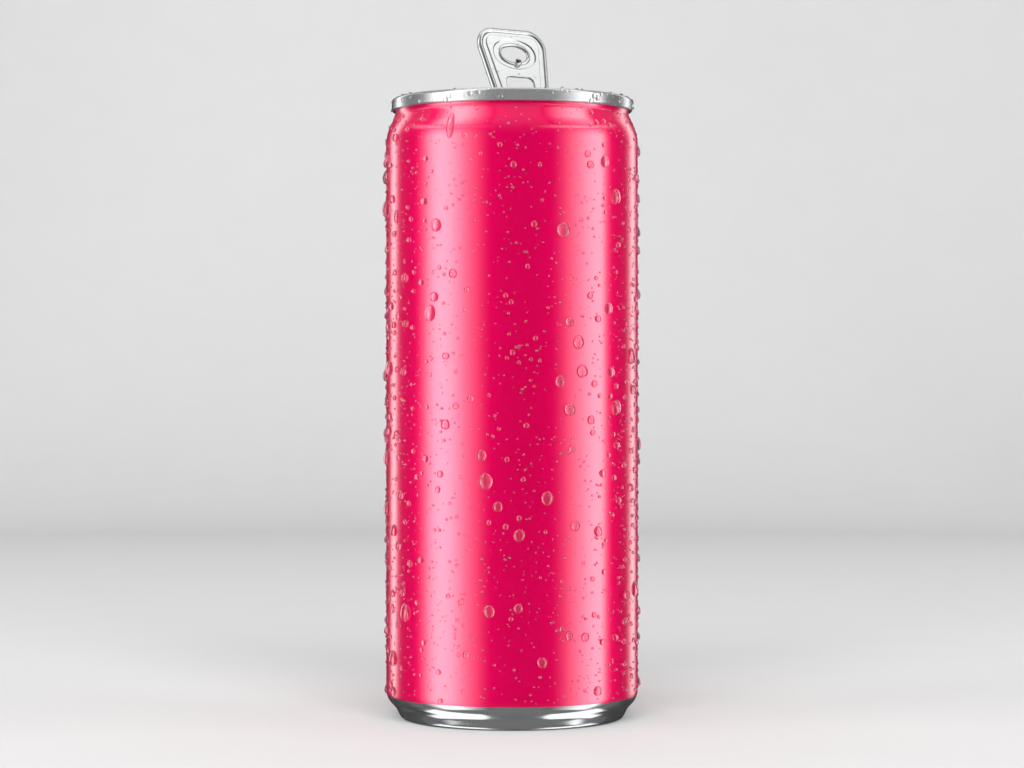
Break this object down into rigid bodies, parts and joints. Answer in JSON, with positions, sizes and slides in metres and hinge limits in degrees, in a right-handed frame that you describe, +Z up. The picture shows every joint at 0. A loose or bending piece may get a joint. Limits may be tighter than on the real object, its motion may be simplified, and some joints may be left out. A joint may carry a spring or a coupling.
{
  "type": "soda can",
  "caption": "Opened slim drinks can with a printed metallic body, bare base and lid, a mouth, a raised pull tab and the drink inside.",
  "frame": {"origin": "on the can's axis, at the surface it stands on", "axes": "+Z up along the can's axis, the mouth towards -Y, +X to the right seen from the mouth's side"},
  "size_m": [0.0536, 0.0534, 0.1467],
  "materials": {
    "printed_aluminium": "metallic lacquer, satin",
    "end_aluminium": "rolled, satin",
    "tab_aluminium": "polished",
    "drink": "liquid"
  },
  "bodies": {
    "can": {"can_body": "printed_aluminium", "can_end": "end_aluminium", "tab_tongue": "tab_aluminium", "drink": "drink"},
    "tab": {"pull_tab": "tab_aluminium"}
  },
  "joints": [
    {"name": "tab_hinge", "type": "hinge", "parent": "can", "child": "tab", "pos_m": [0, -0.0052, 0.12762], "axis": [1, 0, 0], "range_deg": [-70.5, 19.5]}
  ]
}
